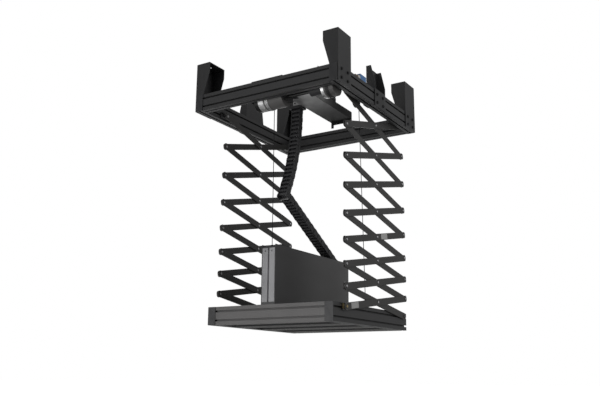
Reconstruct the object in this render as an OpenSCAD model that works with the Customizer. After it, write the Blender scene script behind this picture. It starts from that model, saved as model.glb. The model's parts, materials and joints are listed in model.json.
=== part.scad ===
// Ceiling lift for a projector: a slotted-profile frame hangs from brackets, and two scissor
// stacks guide a platform that a cable winch raises. The origin is in the ceiling plane, at the
// middle of the upper frame. +X is the lift's right, +Y its rear, +Z up. All lengths are in mm.
// It is drawn lowered, as it stands with the platform on its lower stop.

/* [Upper frame] */
// Outside width of the upper frame
frame_w = 766; // [640:2:900]
// Outside depth of the upper frame, without its end caps
frame_d = 806; // [680:2:950]
// Narrow side of the slotted profile
profile_w = 40; // [36:0.5:44]
// Tall side of the slotted profile
profile_h = 80; // [74:1:90]
// Mouth of each profile slot
slot_mouth = 8; // [8:0.5:9.5]
// Thickness of the plastic end caps
cap_t = 3; // [2:0.5:5]

/* [Ceiling brackets] */
// Height of the brackets above the upper frame
bracket_rise = 160; // [140:2:220]
// Length of a corner bracket along the side beam
bracket_l = 114; // [100:2:130]
// Sheet thickness of all the brackets
bracket_t = 4; // [3:0.5:6]
// Width of a corner bracket's flanges at the ceiling
flange_top_w = 76; // [66:1:90]
// Width of a corner bracket's flanges where they meet the frame
flange_foot_w = 44; // [38:1:56]
// Hole for a ceiling anchor
anchor_hole_d = 13; // [9:0.5:17]
// Height of the mid brackets above the upper frame
mid_rise = 122; // [90:2:130]
// Length of a mid bracket along the side beam
mid_l = 110; // [90:2:130]

/* [Scissors] */
// Depth from the winch drums to the front pivots of an arm that lies flat
pivot_behind_drum = 16.4; // [16.2:0.2:60]
// Width of an arm
arm_w = 30; // [24:1:32]
// Thickness of an arm
arm_t = 5; // [3:0.5:8]
// Gap between the two arms of a stage, filled by a collar
arm_gap = 1.5; // [1:0.25:4]
// Gap between the outer arms and the frame's side beams
outer_gap = 7; // [6:0.25:14]
// Slope of the top stage's arms in degrees, lowered
angle_top = 15; // [13:0.5:17]
// Slope of the bottom stage's arms in degrees, lowered
angle_bottom = 8; // [7:0.5:10]
// Diameter of the rivets
rivet_d = 8; // [6:0.5:9]
// Room left between the raised tray and the winch
raised_room = 15.5; // [12:0.5:120]

/* [Platform] */
// Depth from the upper frame's front beam to the platform's front
platform_inset = 31; // [24:1:40]
// Distance from the platform's rear face to its rear pivots
pivot_inset = 38.8; // [30:0.2:44]
// Number of slats under the platform
slats = 3; // [2:1:3]
// Open gap in front of each slat
slat_gap = 104; // [40:2:110]
// Thickness of a slat
slat_t = 16; // [12:1:24]
// Distance across the platform of the projector holes
projector_hole_pitch = 240; // [120:5:400]
// Diameter of the projector holes
projector_hole_d = 8.5; // [6:0.5:10]

/* [Cable tray] */
// Height of the tray above the platform
tray_h = 258; // [150:2:260]
// Depth from the tray's rear end to the platform's rear
tray_rear_inset = 55; // [44:1:140]
// Clear width between the side plates
tray_in_w = 66; // [60:1:90]
// Thickness of the side plates
tray_t = 3; // [2:0.5:5]
// Thickness of the board under the tray
tray_base_t = 10; // [8:0.5:16]
// Depth of the front post
post_d = 40; // [30:1:50]

/* [Winch] */
// Diameter of the cable drums
drum_d = 90; // [70:1:92]
// Diameter of the lifting cables
cable_d = 3.5; // [3:0.25:5]
// Diameter of the winch shaft
shaft_d = 16; // [14:1:20]
// Diameter of the groove circle of the side pulley
pulley_d = 48.5; // [40:0.5:56]
// Diameter of the motor
motor_d = 90; // [70:1:100]
// Length of the motor without its fan cover
motor_l = 180; // [140:2:220]

/* [Energy chain] */
// Width of the energy chain
chain_w = 50; // [40:1:54]
// Height of a chain link
chain_t = 30; // [24:1:34]
// Pitch of the chain links
chain_pitch = 20.5; // [18:0.5:24]

/* [Hidden] */

// Cuts run past the faces they open by this much
overrun = 1;
// Gap left between separate pieces that almost touch
seat_gap = 0.1;
// Radial clearance of a pin or shaft that turns in a hole
run_fit = 0.05;
// Facets of the round forms
$fn = 48;

// Heights of the frame's planes below the ceiling
frame_top = -bracket_rise;
frame_bottom = frame_top - profile_h;
frame_half_w = frame_w / 2;
frame_half_d = frame_d / 2;
frame_in_x = frame_half_w - profile_w;
frame_in_y = frame_half_d - profile_w;

// Slots of the profile: lip, inner width and depth, and where they lie on the tall side
slot_lip = 4.5;
slot_in_w = 14;
slot_depth = 11;
slot_y = profile_h / 4;
core_bore_d = 6.8;
profile_web = 3;
core_w = profile_w - 2 * (slot_depth + profile_web);
core_h = 2 * slot_y - slot_in_w - 2 * profile_web;

// Scissor geometry: the rear pivots stand in one vertical line, and the front ends slide
stages = 8;
pivot_above_frame_bottom = 21;
pivot_from_rear_beam = 17.8;
rear_pivot_y = frame_in_y - pivot_from_rear_beam;
pivot_top_z = frame_bottom + pivot_above_frame_bottom;
winch_clear = 3;
drum_r = drum_d / 2;
flange_rim = 2;
flange_r = drum_r + flange_rim;
winch_y = -frame_in_y + winch_clear + flange_r;
arm_len = rear_pivot_y - winch_y - drum_r - pivot_behind_drum;
arm_side_gap = 4.5;
outer_x = frame_in_x - outer_gap - arm_t;
inner_x = outer_x - arm_gap - arm_t;
arm_end = arm_w / 2;
arm_chamfer = 6;
function stage_angle(i) = angle_top + (angle_bottom - angle_top) * (i - 1) / (stages - 1);
function stage_h(i) = arm_len * sin(stage_angle(i));
function rear_z(i) = i < 1 ? pivot_top_z : rear_z(i - 1) - stage_h(i);
function front_y(i) = rear_pivot_y - arm_len * cos(stage_angle(i));
// Widest sideways miss between two neighbouring stages, which the rivet holes take up
stage_miss = arm_len * (cos(stage_angle(2)) - cos(angle_top));
slack_hole_r = rivet_d / 2 + stage_miss + 3 * seat_gap;
// Vertical play at the platform's pivots, for the bow of the scissors at half travel
platform_play = 2;
head_t = 2.5;
inner_head_t = 1.5;
head_share = 0.75;
head_r = rivet_d * head_share;
wide_head_lap = 1.6;
wide_head_r = slack_hole_r + wide_head_lap;

// Platform planes
pivot_above_platform_bottom = 65;
platform_bottom = rear_z(stages) - pivot_above_platform_bottom;
platform_top = platform_bottom + profile_h;
platform_half_w = inner_x - arm_side_gap;
platform_w = 2 * platform_half_w;
platform_rear = rear_pivot_y + pivot_inset;
platform_front = -frame_in_y + platform_inset;
platform_d = platform_rear - platform_front;
platform_mid_y = (platform_front + platform_rear) / 2;

// Slide rails and blocks of the front ends
block_l = 28;
block_h = 20;
rail_lip = 3;
rail_play = 0.4;
rail_back_t = 3;
rail_side_gap = 0.3;
rail_end_room = 4;
pin_d = 8;
pad_d = 30;

// Winch: the shaft lies behind the front beam. From the right it holds a drum, its flange, the
// gearbox, and the left drum and flange.
winch_rise = 15.4;
winch_z = frame_bottom + winch_rise;
cable_r = cable_d / 2;
right_flange_w = 16;
left_flange_w = 50;
drum_side_gap = 1;
right_drum_l = 45;
right_flange_x = outer_x - drum_side_gap - right_drum_l - right_flange_w;
gearbox_gap = 8;
worm_hub_end_x = right_flange_x - gearbox_gap;
worm_hub_out = 25;
gearbox_end_x = worm_hub_end_x - worm_hub_out;
worm_stage_w = 76;
gearbox_step_x = gearbox_end_x - worm_stage_w;
motor_stage_w = 76;
gearbox_x = gearbox_step_x - motor_stage_w;
left_drum_l = 100;
drum_to_gearbox = 15;
left_flange_x = gearbox_x - drum_to_gearbox - left_drum_l - left_flange_w;
cable_from_flange = 4;
front_cable_x = left_flange_x + left_flange_w + cable_from_flange;
front_cable_y = winch_y + drum_r + cable_r;
plate_t = 5;
plate_gap = 2;
plate_below = 5;
left_plate_x = left_flange_x - plate_gap - plate_t;
right_plate_x = left_flange_x + left_flange_w + left_drum_l + plate_gap;
hood_rise = 104;
hood_top = frame_bottom + hood_rise;
hood_over = 5;
hood_x0 = left_plate_x - hood_over;
hood_x1 = gearbox_x - gearbox_gap;
hood_t = 2;
hood_reach = 46;
bearing_r = 17;
bearing_t = 6;

// Gearbox
gearbox_l = 115;
gearbox_front_wall = 16;
gearbox_rise = 98;
gearbox_drop = 4;
worm_hub_in = 36;
worm_hub_r = 24;
gearbox_front_y = winch_y - gearbox_front_wall;
gearbox_rear_y = gearbox_front_y + gearbox_l;
gearbox_top = frame_bottom + gearbox_rise;

// Channel that carries the motor and the top of the energy chain
channel_w = 117;
channel_x = gearbox_step_x - gearbox_gap - channel_w;
channel_rise = 40;
channel_z = frame_bottom + channel_rise;
gearbox_low = channel_z - gearbox_drop;
channel_t = 3;
channel_h = 38;
channel_l = 374;
tongue_margin = 6;
channel_tongue_x = gearbox_x - tongue_margin;
channel_tab_w = 14;
channel_tab_h = 30;
channel_lip_h = 14;

// Motor
motor_x = channel_x + channel_w / 2;
fan_l = 50;
fan_t = 3;
motor_fin_h = 5;
motor_fin_t = 3;
motor_fins = 20;
cradle_l = 20;

// Side cable and its pulley
side_top_x = right_flange_x + right_flange_w + cable_from_flange;
side_bottom_inset = 9;
side_bottom_x = platform_half_w - side_bottom_inset;
side_cable_forward = 56;
side_cable_y = platform_mid_y - side_cable_forward;
pulley_r = pulley_d / 2;
pulley_y = side_cable_y - pulley_r - cable_r;
feed_z = winch_z + drum_r + cable_r;
pulley_z = feed_z - pulley_r - cable_r;
pulley_w = 14;
pulley_rim = 5;
pulley_axle_d = 10;
pulley_strap_t = 5;

// Energy chain: it hangs from the channel, folds once, and runs down into the tray
chain_from_gearbox = 102;
chain_top_rise = 32;
chain_box_margin = 8;
chain_box_rise = 37;
chain_bulge_share = 0.31;
knee_forward = 106;
knee_share = 0.6115;
chain_end_inset = 63;
chain_end_drop = 29;
chain_top_y = gearbox_rear_y + chain_from_gearbox;
chain_top_z = frame_bottom + chain_top_rise;
chain_bulge_y = chain_top_y;
chain_end_z = platform_top + tray_h - chain_end_drop;
chain_bulge_z = chain_top_z + (chain_end_z - chain_top_z) * chain_bulge_share;
knee_y = chain_top_y - knee_forward;
knee_z = chain_top_z + (chain_end_z - chain_top_z) * knee_share;
chain_gap = 0.9;
chain_wall = 5;
chain_bar = 9;
chain_bar_t = 4;

// Tray and post
tray_half = tray_in_w / 2 + tray_t;
tray_front_y = platform_front;
tray_top = platform_top + tray_h;
tray_l = platform_d - tray_rear_inset;
chain_end_y = tray_front_y + tray_l - chain_end_inset;
post_side_gap = 1;
post_w = tray_in_w - 2 * post_side_gap;
post_cap_t = 7;
post_drop = 8;
post_top = tray_top - post_drop;
travel = winch_z - flange_r - tray_top - raised_room;
fold_angle = asin((pivot_top_z - rear_z(stages) - travel) / (stages * arm_len));
front_y_folded = rear_pivot_y - arm_len * cos(fold_angle);
post_slot_w = 8;
post_slot_depth = 9;
post_notch_w = 4;
post_notch_h = 8;
post_notch_depth = 4;
post_notch_drop = 13;
post_notch_share = 0.27;

bar_colour = [0.2, 0.2, 0.21];
front_colour = [0.26, 0.26, 0.27];
black = [0.12, 0.12, 0.13];
light = [0.62, 0.62, 0.63];

// Draws its children on both sides of the lift
module both_sides() {
    children();
    mirror([1, 0, 0]) children();
}

// One T-shaped slot, cut downwards from the edge at y = 0
module slot_cut() {
    translate([-slot_mouth / 2, -slot_depth]) square([slot_mouth, slot_depth + overrun]);
    translate([-slot_in_w / 2, -slot_depth]) square([slot_in_w, slot_depth - slot_lip]);
}

// Cross-section of the slotted profile, centred, tall side upright
module profile_section() {
    difference() {
        square([profile_w, profile_h], center = true);
        for (side = [-1, 1]) {
            translate([0, side * profile_h / 2]) rotate(side > 0 ? 0 : 180) slot_cut();
            for (v = [-1, 1])
                translate([side * profile_w / 2, v * slot_y]) rotate(-side * 90) slot_cut();
            translate([0, side * slot_y]) circle(d = core_bore_d);
        }
        square([core_w, core_h], center = true);
    }
}

// A beam of the profile, centred, along X or along Y
module beam_x(length) {
    rotate([90, 0, 90]) linear_extrude(height = length, center = true) profile_section();
}
module beam_y(length) {
    rotate([90, 0, 0]) linear_extrude(height = length, center = true) profile_section();
}

module top_front_beam() {
    color(front_colour)
        translate([0, -frame_half_d + profile_w / 2, frame_bottom + profile_h / 2])
            beam_x(2 * frame_in_x);
}
module top_rear_beam() {
    color(front_colour)
        translate([0, frame_half_d - profile_w / 2, frame_bottom + profile_h / 2])
            beam_x(2 * frame_in_x);
}
module top_right_beam() {
    color(bar_colour)
        translate([frame_half_w - profile_w / 2, 0, frame_bottom + profile_h / 2])
            beam_y(frame_d);
}
module top_left_beam() {
    mirror([1, 0, 0]) top_right_beam();
}

// A flat cap on the end of a profile, with rounded corners and two studs in the core bores
cap_corner_r = 2;
cap_stud_l = 12;
module end_cap() {
    rotate([90, 0, 0]) {
        linear_extrude(height = cap_t)
            difference() {
                square([profile_w, profile_h], center = true);
                for (sx = [-1, 1])
                    for (sy = [-1, 1])
                        translate([sx * profile_w / 2, sy * profile_h / 2])
                            difference() {
                                square(2 * cap_corner_r, center = true);
                                translate([-sx * cap_corner_r, -sy * cap_corner_r])
                                    circle(r = cap_corner_r);
                            }
            }
        for (sy = [-1, 1])
            translate([0, sy * slot_y, -cap_stud_l])
                cylinder(d = core_bore_d - 4 * seat_gap, h = cap_stud_l + overrun);
    }
}
module top_end_caps() {
    color(black) both_sides()
        translate([frame_half_w - profile_w / 2, 0, frame_bottom + profile_h / 2]) {
            translate([0, -frame_half_d, 0]) end_cap();
            translate([0, frame_half_d, 0]) rotate(180) end_cap();
        }
}

// Screw holes of a bracket: a pair of slots high, a pair of screws along the beam
screw_d = 8;
screw_hole_d = 9;
screw_head_d = 14;
screw_head_t = 4;
corner_screw_dy = 28;
mid_screw_dy = 30;
module bracket_holes(dy) {
    for (sy = [-1, 1])
        for (sz = [-1, 1])
            translate([frame_half_w - overrun, sy * dy, frame_bottom + profile_h / 2 + sz * slot_y])
                rotate([0, 90, 0]) cylinder(d = screw_hole_d, h = bracket_t + 2 * overrun);
}

// Folded corner bracket of the right-hand side, its middle at y = 0
flange_straight = 47;
module corner_bracket() {
    half = bracket_l / 2;
    out_x = frame_half_w + bracket_t;
    difference() {
        union() {
            translate([frame_half_w, -half, frame_bottom])
                cube([bracket_t, bracket_l, -frame_bottom]);
            translate([out_x - flange_top_w, -half, -bracket_t])
                cube([flange_top_w, bracket_l, bracket_t]);
            for (y = [-half + bracket_t, half])
                translate([0, y, 0]) rotate([90, 0, 0]) linear_extrude(height = bracket_t)
                    polygon([[out_x, 0], [out_x, frame_top], [out_x - flange_foot_w, frame_top],
                        [out_x - flange_top_w, -flange_straight], [out_x - flange_top_w, 0]]);
        }
        bracket_holes(corner_screw_dy);
        translate([out_x - flange_top_w / 2, 0, -bracket_t - overrun])
            cylinder(d = anchor_hole_d, h = bracket_t + 2 * overrun);
    }
}
corner_y = frame_half_d - bracket_l / 2;
module corner_brackets_front() {
    color(black) both_sides() translate([0, -corner_y, 0]) corner_bracket();
}
module corner_brackets_rear() {
    color(black) both_sides() translate([0, corner_y, 0]) corner_bracket();
}

// Folded mid bracket: a plate on the beam, a seat over it, and a web with two flanges
mid_flange_top_w = 24;
mid_web_rear_foot = 42;
mid_web_rear_mid = 31;
mid_web_mid_z = 62;
mid_slope_z = 34;
module mid_bracket() {
    half = mid_l / 2;
    out_x = frame_half_w + bracket_t;
    top_z = frame_top + mid_rise;
    difference() {
        union() {
            translate([frame_half_w, -half, frame_bottom])
                cube([bracket_t, mid_l, profile_h + bracket_t]);
            translate([frame_in_x, -half, frame_top])
                cube([out_x - frame_in_x, mid_l, bracket_t]);
            translate([frame_in_x, 0, 0]) rotate([90, 0, 90])
                linear_extrude(height = bracket_t)
                    polygon([[-half, frame_top], [half + mid_web_rear_foot, frame_top],
                        [half + mid_web_rear_mid, frame_top + mid_web_mid_z],
                        [half, top_z], [-half, top_z]]);
            for (y = [-half + bracket_t, half])
                translate([0, y, 0]) rotate([90, 0, 0]) linear_extrude(height = bracket_t)
                    polygon([[frame_in_x, frame_top], [out_x, frame_top],
                        [out_x, frame_top + mid_slope_z],
                        [frame_in_x + mid_flange_top_w, top_z], [frame_in_x, top_z]]);
        }
        bracket_holes(mid_screw_dy);
    }
}
module mid_brackets() {
    color(black) both_sides() mid_bracket();
}

// Button-head screw with its slot nut, threaded together, through a bracket into the slot
nut_side = 13;
nut_t = 5;
socket_d = 5;
socket_depth = 2.5;
module slot_screw(grip) {
    difference() {
        union() {
            cylinder(d = screw_head_d, h = screw_head_t);
            translate([0, 0, -grip - slot_lip - nut_t])
                cylinder(d = screw_d - 2 * seat_gap, h = grip + slot_lip + nut_t + overrun);
            translate([-nut_side / 2, -nut_side / 2, -grip - slot_lip - nut_t - seat_gap])
                cube([nut_side, nut_side, nut_t]);
        }
        translate([0, 0, screw_head_t - socket_depth])
            cylinder(d = socket_d, h = socket_depth + overrun, $fn = 6);
    }
}
module bracket_screw_set(dy) {
    for (sy = [-1, 1])
        for (sz = [-1, 1])
            translate([frame_half_w + bracket_t + seat_gap, sy * dy,
                frame_bottom + profile_h / 2 + sz * slot_y])
                rotate([0, 90, 0]) slot_screw(bracket_t + seat_gap);
}
module bracket_screws() {
    color(black) both_sides() {
        for (y = [-corner_y, corner_y]) translate([0, y, 0]) bracket_screw_set(corner_screw_dy);
        bracket_screw_set(mid_screw_dy);
    }
}

// Sheet channel, open upwards, with a lip bent down along its rear end and a longer tab at
// the lip's corner. Its front is a tongue with one wall, which runs over the winch shaft to
// the front beam.
module centre_channel() {
    tongue_l = gearbox_rear_y + frame_in_y;
    color(light) {
        translate([channel_x, gearbox_rear_y, channel_z]) {
            cube([channel_w, channel_l, channel_t]);
            cube([channel_t, channel_l, channel_h]);
            translate([0, channel_l - channel_t, -channel_lip_h])
                cube([channel_w, channel_t, channel_lip_h + overrun]);
            translate([0, channel_l - channel_t, -channel_tab_h])
                cube([channel_tab_w, channel_t, channel_tab_h + overrun]);
        }
        translate([channel_tongue_x, -frame_in_y, channel_z])
            cube([channel_x + channel_w - channel_tongue_x, tongue_l + overrun, channel_t]);
        translate([channel_x + channel_w - channel_t, -frame_in_y, channel_z])
            cube([channel_t, tongue_l + channel_l, channel_h]);
    }
}

// Gearbox: a motor stage that stands on the channel's tongue, bridged over the channel's wall
// to the worm stage, whose hub hangs down round the shaft
motor_flange_t = 12;
module gearbox_housing() {
    wall_x = channel_x + channel_w;
    on_tongue = channel_z + channel_t;
    over_wall = channel_z + channel_h;
    color(black) difference() {
        union() {
            translate([gearbox_x, gearbox_front_y, on_tongue])
                cube([wall_x - channel_t - gearbox_x - seat_gap, gearbox_l, gearbox_top - on_tongue]);
            translate([gearbox_x, gearbox_front_y, over_wall])
                cube([gearbox_end_x - gearbox_x, gearbox_l, gearbox_top - over_wall]);
            translate([gearbox_step_x, gearbox_front_y, gearbox_low])
                cube([worm_stage_w, gearbox_l, gearbox_top - gearbox_low]);
            translate([gearbox_end_x - worm_hub_in, gearbox_front_y, winch_z])
                cube([worm_hub_in, gearbox_front_wall + worm_hub_r, gearbox_low + overrun - winch_z]);
            translate([gearbox_end_x - worm_hub_in, winch_y, winch_z]) rotate([0, 90, 0])
                cylinder(r = worm_hub_r, h = worm_hub_in + worm_hub_out);
            translate([motor_x - motor_d / 2, gearbox_rear_y - motor_flange_t, on_tongue])
                cube([motor_d / 2 + overrun, motor_flange_t, motor_z + motor_d / 2 - on_tongue]);
            translate([motor_x, gearbox_rear_y - motor_flange_t, over_wall])
                cube([motor_d / 2, motor_flange_t, motor_z + motor_d / 2 - over_wall]);
        }
        translate([gearbox_step_x - overrun, winch_y, winch_z]) rotate([0, 90, 0])
            cylinder(d = shaft_d + 2 * run_fit, h = worm_stage_w + worm_hub_out + 2 * overrun);
    }
}

// Block between the worm stage and the front beam, as wide and as high as they are
module gearbox_foot() {
    color(black) translate([gearbox_step_x, -frame_in_y, gearbox_low])
        cube([worm_stage_w, gearbox_front_y + frame_in_y, frame_top - gearbox_low]);
}

// Finned motor body on two cradles that stand on the channel
motor_lift = 3;
motor_z = channel_z + channel_t + motor_fin_h + motor_d / 2 + motor_lift;
cradle_share = 0.7;
cradle_depth_share = 0.4;
module motor_body() {
    cradle_h = motor_z - channel_z - channel_t - motor_d * cradle_depth_share;
    color(bar_colour) {
        translate([motor_x, gearbox_rear_y, motor_z]) rotate([-90, 0, 0]) {
            cylinder(d = motor_d, h = motor_l);
            for (i = [0 : motor_fins - 1])
                rotate((i + 0.5) * 360 / motor_fins)
                    translate([0, -motor_fin_t / 2, cradle_l])
                        cube([motor_d / 2 + motor_fin_h, motor_fin_t, motor_l - 2 * cradle_l]);
        }
        for (y = [gearbox_rear_y + cradle_l / 4, gearbox_rear_y + motor_l - cradle_l])
            translate([motor_x - motor_d / 4, y, channel_z + channel_t])
                cube([motor_d / 2, cradle_l * cradle_share, cradle_h]);
    }
}
vent_slots = 10;
vent_start_share = 0.17;
vent_share = 0.2;
module motor_fan_cover() {
    color(black)
        translate([motor_x, gearbox_rear_y + motor_l + seat_gap, motor_z]) rotate([-90, 0, 0])
            difference() {
                cylinder(d = motor_d + 2 * fan_t, h = fan_l);
                translate([0, 0, -overrun]) cylinder(d = motor_d, h = fan_l - fan_t + overrun);
                for (i = [0 : vent_slots - 1])
                    rotate(i * 360 / vent_slots)
                        translate([motor_d * vent_start_share, -fan_t / 2, fan_l - fan_t - overrun])
                            cube([motor_d * vent_share, fan_t, fan_t + 2 * overrun]);
            }
}

// Two plates that hold the left drum, and the bearing of the right drum on the side beam
module bearing_plate(x) {
    translate([x, -frame_in_y, frame_bottom - plate_below])
        cube([plate_t, winch_y + frame_in_y + drum_r, hood_top - hood_t - frame_bottom + plate_below]);
}
module winch_bearing_plates() {
    color(black) difference() {
        union() {
            bearing_plate(left_plate_x);
            bearing_plate(right_plate_x);
            translate([left_plate_x - bearing_t, winch_y, winch_z]) rotate([0, 90, 0])
                cylinder(r = bearing_r, h = bearing_t + overrun);
            translate([frame_in_x - bearing_t, winch_y, winch_z]) rotate([0, 90, 0])
                cylinder(r = bearing_r, h = bearing_t);
        }
        translate([left_plate_x - bearing_t - overrun, winch_y, winch_z]) rotate([0, 90, 0])
            cylinder(d = shaft_d + 2 * run_fit, h = 2 * frame_w);
    }
}

// Sheet hood over the left drum: a top on the bearing plates and a lip behind it
hood_lip_share = 0.35;
module winch_hood() {
    top_w = hood_x1 - hood_x0;
    lip_h = hood_reach * hood_lip_share;
    color(bar_colour) {
        translate([hood_x0, -frame_in_y, hood_top - hood_t])
            cube([top_w, winch_y + frame_in_y + hood_reach, hood_t]);
        translate([hood_x0, winch_y + hood_reach, hood_top - lip_h])
            cube([top_w, hood_t, lip_h]);
    }
}

// Terminal block, its plug and a relay, on top of the right beam
terminal_l = 58;
terminal_w = 24;
terminal_h = 32;
plug_l = 20;
plug_h = 20;
relay_l = 26;
relay_h = 14;
terminal_group_l = terminal_l + plug_l + relay_l + 2 * seat_gap;
terminal_y = (bracket_l - frame_half_d - mid_l / 2 + terminal_group_l) / 2 - terminal_l;
module terminal_block() {
    x = frame_half_w - profile_w / 2 - terminal_w / 2;
    color([0.16, 0.3, 0.5]) translate([x, terminal_y, frame_top])
        cube([terminal_w, terminal_l, terminal_h]);
    color("white") translate([x, terminal_y - plug_l - seat_gap, frame_top])
        cube([terminal_w, plug_l, plug_h]);
    color([0.3, 0.25, 0.2])
        translate([x, terminal_y - plug_l - relay_l - 2 * seat_gap, frame_top])
            cube([terminal_w, relay_l, relay_h]);
}

// Bracket of the side pulley on the right beam, with the pulley's axle
module pulley_bracket() {
    reach = frame_in_x - side_top_x + pulley_w / 2 + 2 * plate_gap;
    color(black) {
        translate([frame_in_x - pulley_strap_t, pulley_y - pulley_r, frame_bottom])
            cube([pulley_strap_t, pulley_d, profile_h - slot_lip]);
        translate([frame_in_x - reach, pulley_y, pulley_z]) rotate([0, 90, 0])
            cylinder(d = pulley_axle_d, h = reach);
        translate([frame_in_x - reach - plate_gap, pulley_y, pulley_z]) rotate([0, 90, 0])
            cylinder(d = pulley_axle_d + 2 * plate_gap, h = plate_gap + plate_gap / 2);
        translate([side_top_x + pulley_w / 2 + seat_gap, pulley_y, pulley_z]) rotate([0, 90, 0])
            cylinder(d = 2 * pulley_axle_d, h = frame_in_x - side_top_x - pulley_w / 2 - seat_gap);
    }
}
module side_pulley() {
    color(light) translate([side_top_x, pulley_y, pulley_z]) rotate([0, 90, 0])
        difference() {
            cylinder(r = pulley_r + pulley_rim, h = pulley_w, center = true);
            rotate_extrude() translate([pulley_r + cable_r, 0])
                polygon([[-cable_r - seat_gap, -cable_r - seat_gap],
                    [-cable_r - seat_gap, cable_r + seat_gap],
                    [pulley_rim, pulley_w / 2 - 1.5 * cable_r / 2],
                    [pulley_rim, -pulley_w / 2 + 1.5 * cable_r / 2]]);
            cylinder(d = pulley_axle_d + 2 * run_fit, h = pulley_w + 2 * overrun, center = true);
        }
}

// Rails for the front ends: two lips on a back plate, drawn for a block centred at z = 0
module slide_rail(x_back, x_lip, y_from, y_to) {
    l = y_to - y_from;
    inside = block_h / 2 + rail_play;
    dir = x_lip < x_back ? -1 : 1;
    for (z = [-inside - rail_lip, inside])
        translate([min(x_back, x_lip), y_from, z]) cube([abs(x_lip - x_back), l, rail_lip]);
    translate([dir < 0 ? x_back - rail_back_t : x_back, y_from, -inside - rail_lip])
        cube([rail_back_t, l, 2 * (inside + rail_lip)]);
}
top_block_x0 = inner_x + arm_t + seat_gap;
top_block_x1 = frame_in_x - rail_back_t - rail_side_gap;
module top_slide_rails() {
    color(black) both_sides()
        translate([0, 0, pivot_top_z])
            slide_rail(frame_in_x, outer_x, front_y_folded - block_l / 2 - rail_end_room,
                front_y(1) + block_l / 2 + rail_end_room);
}
// Blocks that slide in the top rails, each with the pin of the first arm
module top_slide_blocks() {
    color(light) both_sides() translate([0, front_y(1), pivot_top_z]) {
        translate([top_block_x0, -block_l / 2, -block_h / 2])
            cube([top_block_x1 - top_block_x0, block_l, block_h]);
        translate([inner_x - inner_head_t, 0, 0]) rotate([0, 90, 0])
            cylinder(d = pin_d, h = top_block_x0 - inner_x + inner_head_t + overrun);
        translate([inner_x - inner_head_t - seat_gap, 0, 0]) rotate([0, 90, 0])
            cylinder(r = head_r, h = inner_head_t);
    }
}
// Blocks that slide in the platform's rails, each with the pin of the last arm
bottom_block_x0 = platform_half_w + rail_side_gap;
bottom_block_x1 = outer_x - seat_gap;
module bottom_slide_blocks() {
    color([0.7, 0.6, 0.35]) both_sides() translate([0, front_y(stages), rear_z(stages)]) {
        translate([bottom_block_x0, -block_l / 2, -block_h / 2])
            cube([bottom_block_x1 - bottom_block_x0, block_l, block_h]);
        translate([bottom_block_x1 - overrun, 0, 0]) rotate([0, 90, 0])
            cylinder(d = pin_d, h = arm_t + head_t + overrun + seat_gap);
        translate([outer_x + arm_t + seat_gap, 0, 0]) rotate([0, 90, 0])
            cylinder(r = head_r, h = head_t);
    }
}

// Fixed rear pivots of the top stage: a pad on the beam and a pin with a flat head
module top_pivot_pads() {
    color(light) both_sides() translate([0, rear_pivot_y, pivot_top_z]) rotate([0, 90, 0]) {
        translate([0, 0, outer_x + arm_t + seat_gap])
            cylinder(d = pad_d, h = frame_in_x - outer_x - arm_t - seat_gap);
        translate([0, 0, outer_x - inner_head_t])
            cylinder(d = pin_d, h = frame_in_x - outer_x);
        translate([0, 0, outer_x - inner_head_t - seat_gap])
            cylinder(r = head_r, h = inner_head_t);
    }
}

// Platform pivots: a pad and pin at the rear, and the front rails, with room for the bow
module platform_scissor_mounts() {
    z = rear_z(stages);
    inside = block_h / 2 + platform_play;
    y_from = front_y_folded - block_l / 2 - rail_end_room;
    l = front_y(stages) + block_l / 2 + rail_end_room - y_from;
    color(light) both_sides() {
        translate([platform_half_w, rear_pivot_y, z]) rotate([0, 90, 0]) {
            cylinder(d = pad_d, h = inner_x - seat_gap - platform_half_w);
            cylinder(d = pin_d, h = inner_x + arm_t + head_t - platform_half_w);
            translate([0, 0, inner_x + arm_t + 2 * seat_gap - platform_half_w])
                cylinder(r = wide_head_r, h = arm_gap + head_t);
        }
        for (dz = [-inside - rail_lip, inside])
            translate([platform_half_w, y_from, z + dz])
                cube([bottom_block_x1 - platform_half_w, l, rail_lip]);
    }
}

// One arm in the YZ plane, its front pivot at the origin and its length along +Y
module arm(front_hole_r, rear_hole_r) {
    h = arm_w / 2;
    e = arm_end;
    c = arm_chamfer;
    rotate([90, 0, 90]) linear_extrude(height = arm_t)
        difference() {
            polygon([[-e, -h + c], [-e + c, -h], [arm_len + e - c, -h], [arm_len + e, -h + c],
                [arm_len + e, h - c], [arm_len + e - c, h], [-e + c, h], [-e, h - c]]);
            circle(r = front_hole_r);
            translate([arm_len / 2, 0]) circle(r = rivet_hole_r);
            translate([arm_len, 0]) circle(r = rear_hole_r);
        }
}
rivet_hole_r = rivet_d / 2 + run_fit;
platform_hole_r = pin_d / 2 + platform_play;

// Rivet through both arms, with the collar between them; inner_r is its inner head
module rivet(inner_r) {
    rotate([0, 90, 0]) {
        translate([0, 0, inner_x - inner_head_t])
            cylinder(d = rivet_d, h = outer_x + arm_t + head_t - inner_x + inner_head_t);
        translate([0, 0, inner_x - inner_head_t - seat_gap]) cylinder(r = inner_r, h = inner_head_t);
        translate([0, 0, inner_x + arm_t + seat_gap])
            cylinder(r = head_r, h = arm_gap - 2 * seat_gap);
        translate([0, 0, outer_x + arm_t + seat_gap]) cylinder(r = head_r, h = head_t);
    }
}

// Arm B of a stage falls from the rear pivot above to the front pivot, in the outer plane.
// It holds the rivets at its middle and at its front end.
module arm_b(i) {
    color(bar_colour) both_sides() translate([0, front_y(i), rear_z(i)]) {
        translate([outer_x, 0, 0]) rotate([stage_angle(i), 0, 0]) arm(rivet_hole_r, rivet_hole_r);
        translate([0, arm_len / 2 * cos(stage_angle(i)), stage_h(i) / 2]) rivet(head_r);
        if (i < stages) rivet(wide_head_r);
    }
}
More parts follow.
